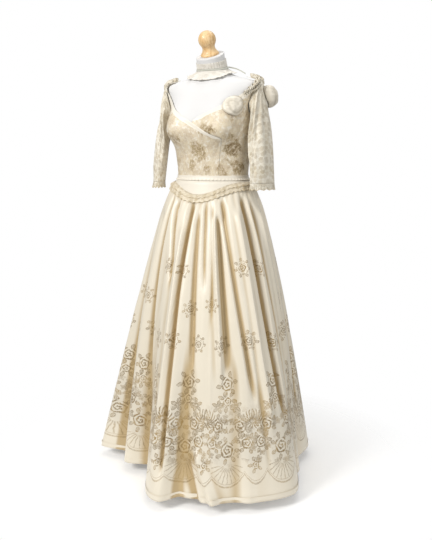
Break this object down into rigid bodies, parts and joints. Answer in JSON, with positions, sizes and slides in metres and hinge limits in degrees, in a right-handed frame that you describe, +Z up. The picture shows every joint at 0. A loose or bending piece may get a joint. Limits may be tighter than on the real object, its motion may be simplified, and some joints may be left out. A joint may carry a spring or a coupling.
{
  "type": "evening dress on a limbless dress form",
  "caption": "Full-length gathered evening dress with wrap V-neck bodice, dipped basque waist and elbow sleeves, worn on a limbless dress form with a round foot.",
  "frame": {"origin": "centre of the underside of the stand's round foot, on the floor", "axes": "+Z up along the stand's pole, -Y to the front of the dress, +X to the wearer's left"},
  "size_m": [0.7862, 0.8117, 1.5399],
  "materials": {
    "satin": "ivory satin with a printed floral border",
    "brocade": "ivory satin brocade with gold flowers",
    "lace": "cream lace with gold embroidery",
    "ribbon": "satin ribbon",
    "form_cover": "white jersey",
    "turned_wood": "satin varnish",
    "stand_steel": "satin"
  },
  "bodies": {
    "root": {"basque_back": "satin", "basque_front": "satin", "basque_lace": "lace", "bodice_back_left": "brocade", "bodice_back_right": "brocade", "bodice_front_left": "brocade", "bodice_front_wrap": "brocade", "cuff_lace_left": "lace", "cuff_lace_right": "lace", "form_torso": "form_cover", "neck_cap": "turned_wood", "neck_flounce": "lace", "neck_ribbon": "ribbon", "neck_ribbon_tail": "ribbon", "neckband": "lace", "petal_back": "ribbon", "petal_front": "ribbon", "shoulder_frill_left": "lace", "shoulder_frill_right": "lace", "skirt_back_left": "satin", "skirt_back_right": "satin", "skirt_centre_back": "satin", "skirt_centre_front": "satin", "skirt_front_left": "satin", "skirt_front_right": "satin", "sleeve_left": "lace", "sleeve_right": "lace", "stand_foot": "stand_steel", "stand_pole": "stand_steel", "waist_band": "satin"}
  },
  "joints": []
}
